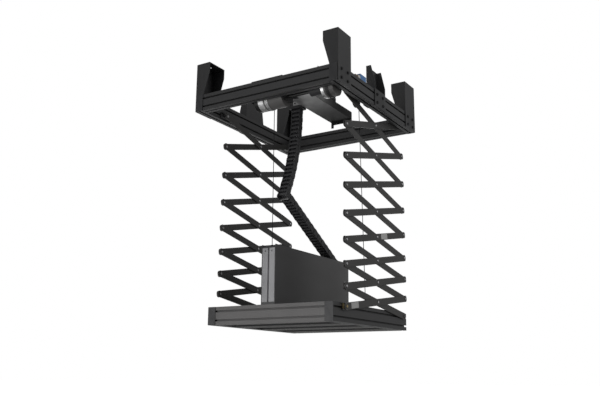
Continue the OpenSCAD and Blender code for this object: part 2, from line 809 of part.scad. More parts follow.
// Arm A of a stage falls from the front end above to the rear pivot, in the inner plane.
// It holds the rivet at its rear end.
module arm_a(i) {
    front_hole_r = i == 1 ? rivet_hole_r : slack_hole_r;
    rear_hole_r = i == stages ? platform_hole_r : rivet_hole_r;
    color(bar_colour) both_sides() {
        translate([inner_x, front_y(i), rear_z(i - 1)]) rotate([-stage_angle(i), 0, 0])
            arm(front_hole_r, rear_hole_r);
        if (i < stages) translate([0, rear_pivot_y, rear_z(i)]) rivet(head_r);
    }
}
module arm_b1() { arm_b(1); }
module arm_a1() { arm_a(1); }
module arm_b2() { arm_b(2); }
module arm_a2() { arm_a(2); }
module arm_b3() { arm_b(3); }
module arm_a3() { arm_a(3); }
module arm_b4() { arm_b(4); }
module arm_a4() { arm_a(4); }
module arm_b5() { arm_b(5); }
module arm_a5() { arm_a(5); }
module arm_b6() { arm_b(6); }
module arm_a6() { arm_a(6); }
module arm_b7() { arm_b(7); }
module arm_a7() { arm_a(7); }
module arm_b8() { arm_b(8); }
module arm_a8() { arm_a(8); }

// Winch drums, their bright end flanges and the shaft through all of them
module drum(x, length) {
    translate([x, winch_y, winch_z]) rotate([0, 90, 0]) difference() {
        cylinder(r = drum_r, h = length);
        translate([0, 0, -overrun]) cylinder(d = shaft_d + 2 * run_fit, h = length + 2 * overrun);
    }
}
module winch_drums() {
    color(black) {
        drum(left_flange_x + left_flange_w + seat_gap, left_drum_l - seat_gap);
        drum(right_flange_x + right_flange_w + seat_gap, right_drum_l - seat_gap);
    }
}
module drum_flange(x, width) {
    translate([x, winch_y, winch_z]) rotate([0, 90, 0]) difference() {
        cylinder(r = flange_r, h = width);
        translate([0, 0, -overrun]) cylinder(d = shaft_d + 2 * run_fit, h = width + 2 * overrun);
    }
}
module drum_flanges() {
    color(light) {
        drum_flange(left_flange_x, left_flange_w);
        drum_flange(right_flange_x, right_flange_w);
    }
}
module winch_shaft() {
    x0 = left_plate_x - bearing_t - plate_gap;
    color(light) translate([x0, winch_y, winch_z]) rotate([0, 90, 0])
        cylinder(d = shaft_d, h = frame_in_x - x0);
}

// Lifting cables. The front one drops from the drum, the side one comes over the pulley.
anchor_plate_t = 5;
front_anchor_z = tray_top + 2 * anchor_plate_t;
side_anchor_h = 30;
module lift_cable_front() {
    color(light) translate([front_cable_x, front_cable_y, front_anchor_z])
        cylinder(d = cable_d, h = winch_z - front_anchor_z, $fn = 16);
}
module lift_cable_side() {
    z0 = platform_top + side_anchor_h + seat_gap;
    lean = side_bottom_x - side_top_x;
    length = norm([lean, pulley_z - z0]);
    color(light) translate([side_bottom_x, side_cable_y, z0])
        rotate([0, -atan2(lean, pulley_z - z0), 0]) cylinder(d = cable_d, h = length, $fn = 16);
}
module side_cable_feed() {
    color(light) translate([side_top_x, 0, 0]) {
        translate([0, winch_y, feed_z]) rotate([-90, 0, 0])
            cylinder(d = cable_d, h = pulley_y - winch_y, $fn = 16);
        translate([0, pulley_y, pulley_z]) rotate([0, -90, 0])
            rotate_extrude(angle = 90) translate([pulley_r + cable_r, 0]) circle(d = cable_d, $fn = 16);
    }
}

// Anchors: a bridge over the tray's front end and an eye on the platform's right beam
bridge_l = 70;
ferrule_d = 10;
eye_plate = 30;
module cable_anchors() {
    x0 = min(-tray_half, front_cable_x - ferrule_d / 2);
    x1 = max(tray_half, front_cable_x + ferrule_d / 2);
    color(black) {
        translate([x0, tray_front_y + post_d + anchor_plate_t, tray_top])
            cube([x1 - x0, bridge_l, anchor_plate_t]);
        translate([front_cable_x, front_cable_y, tray_top + anchor_plate_t - overrun])
            cylinder(d = ferrule_d, h = anchor_plate_t + overrun);
        translate([side_bottom_x - eye_plate / 2 - side_inset, side_cable_y - eye_plate / 2, platform_top])
            cube([eye_plate, eye_plate, anchor_plate_t]);
        translate([side_bottom_x, side_cable_y, platform_top])
            cylinder(d = ferrule_d, h = side_anchor_h);
    }
}
side_inset = 7;

// Energy chain: it hangs from its bracket in a bow, folds at the knee and runs down into the
// tray. Each link has two side walls, knuckled to the next link, and two crossbars.
function bow(a, b, c, t) = (1 - t) * (1 - t) * a + 2 * t * (1 - t) * b + t * t * c;
function bow_slope(a, b, c, t) = 2 * (1 - t) * (b - a) + 2 * t * (c - b);
upper_len = norm([chain_bulge_y - chain_top_y, chain_bulge_z - chain_top_z]) / 2
    + norm([knee_y - chain_bulge_y, knee_z - chain_bulge_z]) / 2
    + norm([knee_y - chain_top_y, knee_z - chain_top_z]) / 2;
upper_links = floor(upper_len / chain_pitch);
lower_len = norm([chain_end_y - knee_y, chain_end_z - knee_z]);
lower_angle = atan2(chain_end_z - knee_z, chain_end_y - knee_y);
lower_links = floor(lower_len / chain_pitch);
// Place and slope of every link: [y, z, angle]
upper_poses = [for (i = [0 : upper_links - 1]) let (t = (i + 0.5) / upper_links) [
    bow(chain_top_y, chain_bulge_y, knee_y, t),
    bow(chain_top_z, chain_bulge_z, knee_z, t),
    atan2(bow_slope(chain_top_z, chain_bulge_z, knee_z, t),
        bow_slope(chain_top_y, chain_bulge_y, knee_y, t))]];
lower_poses = [for (i = [1 : lower_links]) let (d = i * lower_len / lower_links) [
    knee_y + d * cos(lower_angle), knee_z + d * sin(lower_angle), lower_angle]];
module knuckle(a, b) {
    reach = norm([b[0] - a[0], b[1] - a[1]]);
    translate([(a[0] + b[0]) / 2, (a[1] + b[1]) / 2])
        rotate(atan2(b[1] - a[1], b[0] - a[0]))
            square([reach, chain_t / 2], center = true);
}
module energy_chain() {
    knee = [knee_y, knee_z];
    poses = concat(upper_poses, lower_poses);
    wall = chain_pitch - chain_gap;
    color(black) {
        for (x = [-chain_w / 2, chain_w / 2 - chain_wall])
            translate([x, 0, 0]) rotate([90, 0, 90]) linear_extrude(height = chain_wall) {
                for (p = poses)
                    translate([p[0], p[1]]) rotate(p[2]) square([wall, chain_t], center = true);
                for (i = [1 : len(poses) - 1])
                    if (i != upper_links) knuckle(poses[i - 1], poses[i]);
                knuckle(upper_poses[upper_links - 1], knee);
                knuckle(knee, lower_poses[0]);
                translate(knee) circle(r = chain_t / 2);
            }
        for (p = poses)
            for (side = [-1, 1])
                translate([0, p[0], p[1]]) rotate([p[2], 0, 0])
                    translate([0, 0, side * (chain_t / 2 - chain_bar_t / 2 - chain_gap)])
                        cube([chain_w - chain_wall, chain_bar, chain_bar_t], center = true);
    }
}

// Bracket of the chain's fixed end: an open box over the chain, on the channel's left flange
module chain_top_bracket() {
    t = channel_t;
    x0 = min(-chain_w / 2 - chain_box_margin, channel_x - t);
    x1 = max(chain_w / 2, channel_x);
    z0 = chain_top_z + seat_gap;
    box_h = channel_z + channel_h + chain_box_rise - z0;
    color(black) translate([0, chain_top_y - chain_w / 2, z0]) {
        translate([x0, 0, 0]) cube([x1 - x0, chain_w, 2 * t]);
        for (y = [0, chain_w - t])
            translate([x0, y, 0]) cube([channel_x - x0, t, box_h]);
        for (x = [x0, channel_x - t])
            translate([x, 0, 0]) cube([t, chain_w, box_h]);
    }
}

// Platform frame
module platform_front_beam() {
    color(light) translate([0, platform_front + profile_w / 2, platform_bottom + profile_h / 2])
        beam_x(platform_w - 2 * profile_w);
}
module platform_rear_beam() {
    color(light) translate([0, platform_rear - profile_w / 2, platform_bottom + profile_h / 2])
        beam_x(platform_w - 2 * profile_w);
}
module platform_right_beam() {
    color(front_colour)
        translate([platform_half_w - profile_w / 2, platform_mid_y, platform_bottom + profile_h / 2])
            beam_y(platform_d);
}
module platform_left_beam() {
    mirror([1, 0, 0]) platform_right_beam();
}
module platform_end_caps() {
    color(black) both_sides()
        translate([platform_half_w - profile_w / 2, platform_front, platform_bottom + profile_h / 2])
            end_cap();
}

// Slats flush with the platform's underside, each with three grooves and two projector holes
slat_room = platform_d - 2 * profile_w;
slat_w = slat_room / slats - slat_gap;
first_slat_y = platform_front + profile_w + slat_gap;
slat_groove_w = 8;
slat_groove_depth = 6;
slat_grooves = 3;
module platform_slats() {
    l = platform_w - 2 * profile_w;
    color(front_colour) for (i = [0 : slats - 1])
        translate([-l / 2, first_slat_y + i * (slat_w + slat_gap), platform_bottom])
            difference() {
                cube([l, slat_w, slat_t]);
                for (g = [1 : slat_grooves])
                    translate([-overrun, g * slat_w / (slat_grooves + 1) - slat_groove_w / 2, -overrun])
                        cube([l + 2 * overrun, slat_groove_w, slat_groove_depth + overrun]);
                for (x = [l - projector_hole_pitch, l + projector_hole_pitch])
                    translate([x / 2, slat_w * hole_share, -overrun])
                        cylinder(d = projector_hole_d, h = slat_t + 2 * overrun);
            }
}
// Place of the projector holes across a slat, between two grooves
hole_share = 0.375;

// Tray: board with its rear plate and the chain's stop, two side plates, front post and cap
chain_stop_t = 5;
module tray_base() {
    color(black) {
        translate([-tray_in_w / 2, tray_front_y, platform_top])
            cube([tray_in_w, platform_d, tray_base_t]);
        translate([-tray_in_w / 2, tray_front_y + tray_l - tray_t, platform_top + tray_base_t])
            cube([tray_in_w, tray_t, tray_h - tray_base_t]);
        translate([-chain_w / 2, chain_end_y - chain_stop_t / 2, platform_top])
            cube([chain_w, chain_stop_t, chain_end_z - chain_t - platform_top]);
    }
}
module tray_right_plate() {
    color(front_colour) translate([tray_in_w / 2, tray_front_y, platform_top])
        cube([tray_t, tray_l, tray_h]);
}
module tray_left_plate() {
    mirror([1, 0, 0]) tray_right_plate();
}
post_bore_share = 0.6;
module tray_front_post() {
    z0 = platform_top + tray_base_t;
    post_l = post_top - z0 - post_cap_t;
    color(light) translate([0, tray_front_y, z0]) difference() {
        linear_extrude(height = post_l) difference() {
            translate([-post_w / 2, 0]) square([post_w, post_d]);
            translate([-post_slot_w / 2, -overrun]) square([post_slot_w, post_slot_depth + overrun]);
            for (x = [-post_w / 4, post_w / 4])
                translate([x, post_d * post_bore_share]) circle(d = core_bore_d);
        }
        for (side = [-1, 1])
            translate([side * post_w * post_notch_share, post_notch_depth / 2, post_l - post_notch_drop])
                cube([post_notch_w, post_notch_depth + overrun, post_notch_h], center = true);
    }
}
module tray_post_cap() {
    color(black) translate([-post_w / 2, tray_front_y, post_top - post_cap_t])
        cube([post_w, post_d, post_cap_t]);
}

top_front_beam();
top_rear_beam();
top_left_beam();
top_right_beam();
top_end_caps();
corner_brackets_front();
corner_brackets_rear();
mid_brackets();
bracket_screws();
centre_channel();
gearbox_housing();
gearbox_foot();
motor_body();
motor_fan_cover();
winch_bearing_plates();
winch_hood();
terminal_block();
pulley_bracket();
top_slide_rails();
top_pivot_pads();
chain_top_bracket();
energy_chain();
lift_cable_front();
lift_cable_side();
side_cable_feed();
winch_drums();
drum_flanges();
winch_shaft();
side_pulley();
arm_b1();
arm_a1();
arm_b2();
arm_a2();
arm_b3();
arm_a3();
arm_b4();
arm_a4();
arm_b5();
arm_a5();
arm_b6();
arm_a6();
arm_b7();
arm_a7();
arm_b8();
arm_a8();
top_slide_blocks();
bottom_slide_blocks();
platform_front_beam();
platform_rear_beam();
platform_left_beam();
platform_right_beam();
platform_end_caps();
platform_slats();
tray_left_plate();
tray_right_plate();
tray_base();
tray_front_post();
tray_post_cap();
platform_scissor_mounts();
cable_anchors();
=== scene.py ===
import json
from math import cos, pi, radians, sin, tau

import bmesh
import bpy
from mathutils import Matrix, Vector


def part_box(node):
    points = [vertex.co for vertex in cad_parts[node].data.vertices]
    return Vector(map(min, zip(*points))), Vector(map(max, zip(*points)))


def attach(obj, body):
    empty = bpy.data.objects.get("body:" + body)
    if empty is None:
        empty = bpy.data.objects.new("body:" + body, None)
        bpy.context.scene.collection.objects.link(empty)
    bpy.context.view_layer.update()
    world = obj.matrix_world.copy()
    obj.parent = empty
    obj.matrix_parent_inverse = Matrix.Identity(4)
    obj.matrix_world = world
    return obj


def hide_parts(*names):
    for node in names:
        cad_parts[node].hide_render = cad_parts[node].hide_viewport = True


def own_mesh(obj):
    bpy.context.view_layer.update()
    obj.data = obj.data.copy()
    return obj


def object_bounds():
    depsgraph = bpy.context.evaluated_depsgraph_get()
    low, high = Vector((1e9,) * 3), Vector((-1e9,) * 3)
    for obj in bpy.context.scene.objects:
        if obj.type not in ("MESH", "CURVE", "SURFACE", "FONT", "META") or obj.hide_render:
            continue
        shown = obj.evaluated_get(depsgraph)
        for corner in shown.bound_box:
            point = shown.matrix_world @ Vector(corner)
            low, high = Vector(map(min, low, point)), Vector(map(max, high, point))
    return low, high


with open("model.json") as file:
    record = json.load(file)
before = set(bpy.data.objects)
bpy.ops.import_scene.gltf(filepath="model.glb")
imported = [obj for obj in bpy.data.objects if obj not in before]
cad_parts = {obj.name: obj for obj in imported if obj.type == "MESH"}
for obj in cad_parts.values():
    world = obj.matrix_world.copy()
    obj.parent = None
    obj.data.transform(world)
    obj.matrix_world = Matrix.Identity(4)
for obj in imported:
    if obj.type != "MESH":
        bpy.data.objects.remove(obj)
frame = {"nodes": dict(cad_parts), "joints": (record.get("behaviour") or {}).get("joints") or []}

cad_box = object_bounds()

# Camera. The photograph looks up at the lowered lift from its front right, from a little below
# the platform. Place, turn and focal length come from a pinhole fit to the photograph.
camera_place = Vector((1.76878, -2.90661, -1.44462))
camera_yaw = radians(32.037)
camera_pitch = radians(13.4517)
camera_roll = radians(0.47645)
focal_in_pixels = 729.497
photo_width_in_pixels = 600

camera_data = bpy.data.cameras.new("lift_camera")
camera_data.sensor_width = 36
camera_data.lens = camera_data.sensor_width * focal_in_pixels / photo_width_in_pixels
camera_data.clip_start = 0.05
camera_data.clip_end = 60
lift_camera = bpy.data.objects.new("lift_camera", camera_data)
bpy.context.scene.collection.objects.link(lift_camera)
looking = Vector((-sin(camera_yaw) * cos(camera_pitch), cos(camera_yaw) * cos(camera_pitch),
                  sin(camera_pitch)))
level_right = Vector((cos(camera_yaw), sin(camera_yaw), 0))
level_up = level_right.cross(looking)
rolled_right = cos(camera_roll) * level_right + sin(camera_roll) * level_up
rolled_up = -sin(camera_roll) * level_right + cos(camera_roll) * level_up
lift_camera.matrix_world = Matrix((
    (rolled_right.x, rolled_up.x, -looking.x, camera_place.x),
    (rolled_right.y, rolled_up.y, -looking.y, camera_place.y),
    (rolled_right.z, rolled_up.z, -looking.z, camera_place.z),
    (0, 0, 0, 1)))
bpy.context.scene.camera = lift_camera
bpy.context.scene.view_settings.view_transform = "Standard"

# Floor and studio light. A pale floor lies below the lift, and broad soft lamps light it from
# the front, from the right and from near the floor, as the bright underside in the photo shows.
floor_drop = 0.62
floor_size = 60
floor_z = cad_box[0][2] - floor_drop


def lit_background(name, colour, seen, mirrored):
    """A diffuse floor that the camera sees as white, and glossy or clear surfaces as pale."""
    made = bpy.data.materials.new(name)
    made.use_nodes = True
    nodes, links = made.node_tree.nodes, made.node_tree.links
    nodes.clear()
    out = nodes.new("ShaderNodeOutputMaterial")
    diffuse = nodes.new("ShaderNodeBsdfDiffuse")
    diffuse.inputs["Color"].default_value = colour
    glow = nodes.new("ShaderNodeEmission")
    glow.inputs["Color"].default_value = (1, 1, 1, 1)
    path = nodes.new("ShaderNodeLightPath")
    mirror = nodes.new("ShaderNodeMath")
    mirror.operation = "MAXIMUM"
    links.new(path.outputs["Is Glossy Ray"], mirror.inputs[0])
    links.new(path.outputs["Is Transmission Ray"], mirror.inputs[1])
    dimmed = nodes.new("ShaderNodeMath")
    dimmed.operation = "MULTIPLY"
    dimmed.inputs[1].default_value = mirrored
    links.new(mirror.outputs[0], dimmed.inputs[0])
    strength = nodes.new("ShaderNodeMath")
    strength.operation = "MULTIPLY_ADD"
    strength.inputs[1].default_value = seen
    links.new(path.outputs["Is Camera Ray"], strength.inputs[0])
    links.new(dimmed.outputs[0], strength.inputs[2])
    links.new(strength.outputs[0], glow.inputs["Strength"])
    both = nodes.new("ShaderNodeAddShader")
    links.new(diffuse.outputs[0], both.inputs[0])
    links.new(glow.outputs[0], both.inputs[1])
    links.new(both.outputs[0], out.inputs["Surface"])
    return made


half = floor_size / 2
floor_corners = [(x, y, floor_z) for x, y in ((-half, -half), (half, -half), (half, half), (-half, half))]
floor_mesh = bpy.data.meshes.new("studio_floor")
floor_mesh.from_pydata(floor_corners, [], [(0, 1, 2, 3)])
floor_paper = lit_background("studio_floor_paper", colour=(0.6, 0.6, 0.6, 1), seen=1.0, mirrored=0.12)
floor_mesh.materials.append(floor_paper)
studio_floor = bpy.data.objects.new("studio_floor", floor_mesh)
bpy.context.scene.collection.objects.link(studio_floor)

world_light = 0.27
world_seen = 1.0
studio_world = bpy.data.worlds.new("studio_world")
bpy.context.scene.world = studio_world
studio_world.use_nodes = True
world_nodes, world_links = studio_world.node_tree.nodes, studio_world.node_tree.links
world_back = world_nodes["Background"]
world_back.inputs["Color"].default_value = (1, 1, 1, 1)
world_path = world_nodes.new("ShaderNodeLightPath")
world_level = world_nodes.new("ShaderNodeMapRange")
world_level.inputs["To Min"].default_value = world_light
world_level.inputs["To Max"].default_value = world_seen
world_links.new(world_path.outputs["Is Camera Ray"], world_level.inputs["Value"])
world_links.new(world_level.outputs[0], world_back.inputs["Strength"])


def soft_lamp(name, place, aim, size, watts):
    """A square lamp that shines from its place at the aim."""
    data = bpy.data.lights.new(name, "AREA")
    data.shape = "SQUARE"
    data.size = size
    data.energy = watts
    lamp = bpy.data.objects.new(name, data)
    bpy.context.scene.collection.objects.link(lamp)
    lamp.location = place
    lamp.rotation_euler = (Vector(aim) - Vector(place)).to_track_quat("-Z", "Y").to_euler()


lift_middle = (0, 0, -0.7)
lift_foot = (0, -0.2, -1.1)
soft_lamp("lamp_front", place=(-1.2, -3.6, 0.4), aim=lift_middle, size=2.4, watts=9)
soft_lamp("lamp_right", place=(3.6, 0.6, 0.3), aim=lift_middle, size=2.2, watts=32)
soft_lamp("lamp_low_front", place=(-0.4, -2.2, floor_z + 0.1), aim=lift_foot, size=1.6, watts=22)
soft_lamp("lamp_back", place=(-2.6, 3.4, 0.5), aim=lift_middle, size=2.6, watts=40)

# Upper frame. Four slotted aluminium profiles, 40 by 80 mm, coated satin black and joined at
# the corners. The extruded skin shows a very fine grain along the slots and paler edges.


def bare_surface(name, metallic):
    """A new material, with its nodes and links, its shader and its places on the object."""
    made = bpy.data.materials.new(name)
    made.use_nodes = True
    nodes, links = made.node_tree.nodes, made.node_tree.links
    shader = nodes["Principled BSDF"]
    shader.inputs["Metallic"].default_value = metallic
    return made, nodes, links, shader, nodes.new("ShaderNodeTexCoord").outputs["Object"]


def noise(nodes, links, place, scale, detail):
    """Cloudy noise for drifts, grain and marks."""
    made = nodes.new("ShaderNodeTexNoise")
    made.inputs["Scale"].default_value = scale
    made.inputs["Detail"].default_value = detail
    links.new(place, made.inputs["Vector"])
    return made.outputs["Fac"]


def ranged(nodes, links, value, start=0.0, stop=1.0, low=0.0, high=1.0, blend="LINEAR"):
    """Turns the stretch of a value from start to stop into one from low to high."""
    made = nodes.new("ShaderNodeMapRange")
    made.interpolation_type = blend
    for socket, end in (("From Min", start), ("From Max", stop), ("To Min", low), ("To Max", high)):
        made.inputs[socket].default_value = end
    links.new(value, made.inputs["Value"])
    return made.outputs[0]


def shaded(nodes, links, level, half_range, colour, dark, light):
    """The colour, times dark where the noise is low and times light where it is high."""
    shade = nodes.new("ShaderNodeValToRGB")
    low_stop, high_stop = shade.color_ramp.elements
    low_stop.position = 0.5 - half_range
    high_stop.position = 0.5 + half_range
    low_stop.color = (*[c * dark for c in colour], 1)
    high_stop.color = (*[min(1, c * light) for c in colour], 1)
    links.new(level, shade.inputs["Fac"])
    return shade.outputs["Color"]


def mixed_in(nodes, links, share, plain, colour):
    """The plain colour with a share of another one."""
    mixed = nodes.new("ShaderNodeMix")
    mixed.data_type = "RGBA"
    mixed.inputs["B"].default_value = (*colour, 1)
    links.new(share, mixed.inputs["Factor"])
    links.new(plain, mixed.inputs["A"])
    return mixed.outputs["Result"]


def raised(nodes, links, shader, level, strength, depth):
    """A fine relief that follows a noise."""
    bump = nodes.new("ShaderNodeBump")
    bump.inputs["Strength"].default_value = strength
    bump.inputs["Distance"].default_value = depth
    links.new(level, bump.inputs["Height"])
    links.new(bump.outputs["Normal"], shader.inputs["Normal"])


coat_drift = 0.125
coat_cloud_scale = 7.0
edge_sharpness = (0.52, 0.62)
rubbed_gain = 1.9
rubbed_lift = 0.03


def coated(name, colour, roughness, grain=900.0, grain_depth=0.00004, edge_light=0.35, metallic=0.0):
    """Satin coat: fine grain in the bump, slow drift in the shade, and edges rubbed lighter."""
    made, nodes, links, shader, place = bare_surface(name, metallic)
    cloud = noise(nodes, links, place, coat_cloud_scale, 4.0)
    shade = shaded(nodes, links, cloud, 0.18, colour, 1 - coat_drift, 1 + coat_drift)
    edges = nodes.new("ShaderNodeNewGeometry").outputs["Pointiness"]
    rim = ranged(nodes, links, edges, *edge_sharpness, high=edge_light)
    rubbed = [min(1, c * rubbed_gain + rubbed_lift) for c in colour]
    links.new(mixed_in(nodes, links, rim, shade, rubbed), shader.inputs["Base Color"])
    polish = ranged(nodes, links, cloud, low=roughness - 0.06, high=roughness + 0.07)
    links.new(polish, shader.inputs["Roughness"])
    fine = noise(nodes, links, place, grain, 2.0)
    raised(nodes, links, shader, fine, 0.5, grain_depth)
    return made


weld_distance = 0.00002
flat_angle = radians(1.5)
sharp_angle = radians(32)
broken_angle = radians(34)


def sharpen(mesh_data, angle=sharp_angle):
    """Smooth shading, with hard edges where two faces meet at more than the angle."""
    work = bmesh.new()
    work.from_mesh(mesh_data)
    for face in work.faces:
        face.smooth = True
    for edge in work.edges:
        if len(edge.link_faces) == 2:
            edge.smooth = edge.calc_face_angle(0) < angle
    work.to_mesh(mesh_data)
    work.free()


def broken_edges(piece, width):
    """The small radius that a cut, cast or moulded edge has."""
    bevel = piece.modifiers.new("edge", "BEVEL")
    bevel.width = width
    bevel.segments = 2
    bevel.limit_method = "ANGLE"
    bevel.angle_limit = broken_angle
    bevel.use_clamp_overlap = True
    even = piece.modifiers.new("even", "WEIGHTED_NORMAL")
    even.keep_sharp = True


def finished(node, body, material, edge=0.0007):
    """A made-whole copy of a CAD node: its flats are single faces and its edges are broken."""
    piece = bpy.data.objects.new(node + "_piece", frame["nodes"][node].data.copy())
    bpy.context.scene.collection.objects.link(piece)
    work = bmesh.new()
    work.from_mesh(piece.data)
    bmesh.ops.remove_doubles(work, verts=work.verts, dist=weld_distance)
    bmesh.ops.dissolve_limit(work, angle_limit=flat_angle, verts=work.verts, edges=work.edges)
    work.to_mesh(piece.data)
    work.free()
    piece.data.materials.clear()
    piece.data.materials.append(material)
    sharpen(piece.data)
    broken_edges(piece, edge)
    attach(piece, body)
    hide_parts(node)
    return piece


dark_profile = coated("dark_profile_coat", (0.026, 0.026, 0.027), 0.42, grain=1400)
# Painted light: the same black profile coat painted lighter, for the platform's front and rear beams, which
# catch more light from below.
painted_light_profile = coated("painted_light_profile_coat", (0.124, 0.121, 0.12), 0.45, grain=1400)
for beam in ("top_front_beam", "top_rear_beam", "top_left_beam", "top_right_beam"):
    finished(beam, "upper_frame", dark_profile, edge=0.0008)

# End caps of the upper side beams. Each is a moulded black plastic plate with two studs that
# press into the profile's bores, and it closes the slots.
cap_plastic = coated("cap_plastic", (0.022, 0.022, 0.024), 0.5, grain=2600, grain_depth=0.00006,
                     edge_light=0.2)
finished("top_end_caps", "upper_frame", cap_plastic, edge=0.0006)

# Ceiling brackets. Each corner bracket is folded from 4 mm sheet, coated black: a plate on the
# beam, two tapering flanges and a top plate with the ceiling hole. The mid brackets have a web.
bracket_coat = coated("bracket_coat", (0.019, 0.019, 0.02), 0.44, grain=1800, edge_light=0.5)
for bracket in ("corner_brackets_front", "corner_brackets_rear", "mid_brackets"):
    finished(bracket, "upper_frame", bracket_coat, edge=0.0012)

# Bracket screws. Button-head screws of blackened steel with a hexagon socket, each pulled into
# a nut that sits in the profile's slot.
black_steel = coated("black_steel", (0.018, 0.018, 0.02), 0.33, grain=1200, edge_light=0.4, metallic=0.6)
finished("bracket_screws", "upper_frame", black_steel, edge=0.0011)

# Motor channel. A folded galvanised trough behind the gearbox, open at the top, with a lip bent
# down at its rear end. It carries the motor and the black box of the energy chain's upper end.
metal_drift = 0.2
metal_patch_scale = 24.0


def metal(name, colour, roughness, scale, stretch=(1, 1, 1), metallic=1.0):
    """Bare metal with brush or rolling marks, drawn out along the axis with the small stretch."""
    made, nodes, links, shader, place = bare_surface(name, metallic)
    drawn = nodes.new("ShaderNodeMapping")
    drawn.inputs["Scale"].default_value = stretch
    links.new(place, drawn.inputs["Vector"])
    marks = noise(nodes, links, drawn.outputs[0], scale, 3.0)
    patches = noise(nodes, links, place, metal_patch_scale, 3.0)
    shade = shaded(nodes, links, patches, 0.15, colour, 1 - metal_drift, 1 + metal_drift / 2)
    links.new(shade, shader.inputs["Base Color"])
    polish = ranged(nodes, links, marks, low=roughness - 0.08, high=roughness + 0.1)
    links.new(polish, shader.inputs["Roughness"])
    raised(nodes, links, shader, marks, 0.4, 0.00003)
    return made


def fade(material, axis, start, stop, colour, facing=False):
    """Turns the colour into another one along an axis, by place, or by the way a face looks."""
    nodes, links = material.node_tree.nodes, material.node_tree.links
    base = nodes["Principled BSDF"].inputs["Base Color"]
    if facing:
        spread = nodes.new("ShaderNodeNewGeometry").outputs["True Normal"]
    else:
        spread = nodes.new("ShaderNodeTexCoord").outputs["Object"]
    split = nodes.new("ShaderNodeSeparateXYZ")
    links.new(spread, split.inputs[0])
    share = ranged(nodes, links, split.outputs[axis], start, stop, blend="LINEAR" if facing else "SMOOTHSTEP")
    links.new(mixed_in(nodes, links, share, base.links[0].from_socket, colour), base)


rolling_marks = (1, 0.06, 1)
zinc_sheet = metal("zinc_sheet", (0.22, 0.22, 0.222), 0.42, scale=420, stretch=rolling_marks)
# Painted light and shade: the channel's colour runs from bright at the front, where light falls in, to near
# black at the rear, where it lies in shade.
channel_zinc_painted_light_and_shade = metal("channel_zinc_painted_light_and_shade", (0.6, 0.6, 0.6), 0.45, scale=420, stretch=rolling_marks, metallic=0.45)
fade(channel_zinc_painted_light_and_shade, "Y", start=-0.34, stop=0.06, colour=(0.016, 0.016, 0.016))
finished("centre_channel", "upper_frame", channel_zinc_painted_light_and_shade, edge=0.0009)
finished("chain_top_bracket", "upper_frame", bracket_coat, edge=0.0008)

# Gearbox. A cast worm gearbox, painted black, whose foot is screwed to the front beam. Cooling
# ribs stand on its right face, and six screws close the hub that reaches along the shaft.
casting = coated("gearbox_casting", (0.02, 0.02, 0.022), 0.55, grain=700, grain_depth=0.00016,
                 edge_light=0.45)
finished("gearbox_housing", "upper_frame", casting, edge=0.003)
finished("gearbox_foot", "upper_frame", casting, edge=0.002)


def lathe(work, profile, place, axis="X", steps=28, flip=1):
    """Turns a profile of (distance along the axis, radius) points about an axis through place."""
    rings = []
    for along, radius in profile:
        ring = []
        for k in range(steps):
            a = tau * k / steps
            if axis == "X":
                spot = (flip * along, radius * cos(a), radius * sin(a))
            elif axis == "Y":
                spot = (radius * cos(a), flip * along, radius * sin(a))
            else:
                spot = (radius * cos(a), radius * sin(a), flip * along)
            ring.append(work.verts.new(Vector(place) + Vector(spot)))
        rings.append(ring)
    for a, b in zip(rings, rings[1:]):
        for k in range(steps):
            work.faces.new((a[k], a[(k + 1) % steps], b[(k + 1) % steps], b[k]))
    work.faces.new(rings[0])
    work.faces.new(rings[-1])


def made_from(work, name, body, material, edge=0.0, sharp=sharp_angle):
    """Turns a bmesh into a piece that rides on a body."""
    bmesh.ops.recalc_face_normals(work, faces=work.faces)
    data = bpy.data.meshes.new(name)
    work.to_mesh(data)
    work.free()
    piece = bpy.data.objects.new(name, data)
    bpy.context.scene.collection.objects.link(piece)
    data.materials.append(material)
    sharpen(data, sharp)
    if edge:
        broken_edges(piece, edge)
    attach(piece, body)
    return piece


joint_at = {j["name"]: Vector(j["pos_m"]) for j in frame["joints"] if "pos_m" in j}
shaft_line = joint_at["winch_turn"]
gear_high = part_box("gearbox_housing")[1]
foot_low, foot_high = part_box("gearbox_foot")
hub_out = 0.025
hub_in = 0.036
stage_face_x = gear_high.x - hub_out
hub_face_x = stage_face_x - hub_in
cover_screw_count = 6
cover_screw_circle = 0.0165
cover_screw_r = 0.003
cover_screw_h = 0.0025
screw_head = [(0, cover_screw_r), (-cover_screw_h * 0.7, cover_screw_r),
              (-cover_screw_h, cover_screw_r * 0.7)]
work = bmesh.new()
for k in range(cover_screw_count):
    turn = tau * k / cover_screw_count
    spot = (hub_face_x, shaft_line.y + cover_screw_circle * cos(turn),
            shaft_line.z + cover_screw_circle * sin(turn))
    lathe(work, screw_head, spot, steps=20)
made_from(work, "gearbox_cover_screws", "upper_frame", black_steel)

rib_count = 9
rib_proud = 0.003
rib_thick = 0.003
rib_root = 0.001
rib_slope = 0.004
rib_from_foot = 0.006
rib_from_top = 0.012
root_x = stage_face_x - rib_root
crest_x = stage_face_x + rib_proud
rib_low_z = foot_low.z + rib_from_foot
rib_high_z = gear_high.z - rib_from_top
rib_corners = [(root_x, rib_low_z), (crest_x, rib_low_z + rib_slope),
               (crest_x, rib_high_z - rib_slope), (root_x, rib_high_z)]
work = bmesh.new()
for k in range(rib_count):
    y = foot_high.y + (gear_high.y - foot_high.y) * (k + 1) / (rib_count + 1)
    near, far = [[work.verts.new((x, y + shift, z)) for x, z in rib_corners]
                 for shift in (-rib_thick / 2, rib_thick / 2)]
    work.faces.new(near)
    work.faces.new(far[::-1])
    for n in range(4):
        work.faces.new((near[n], near[(n + 1) % 4], far[(n + 1) % 4], far[n]))
made_from(work, "gearbox_ribs", "upper_frame", casting, edge=0.0008)

# Chain clamp plate. A small zinc plate, held by two screws, closes the box of the chain's upper
# end at the front, where the leads leave it.


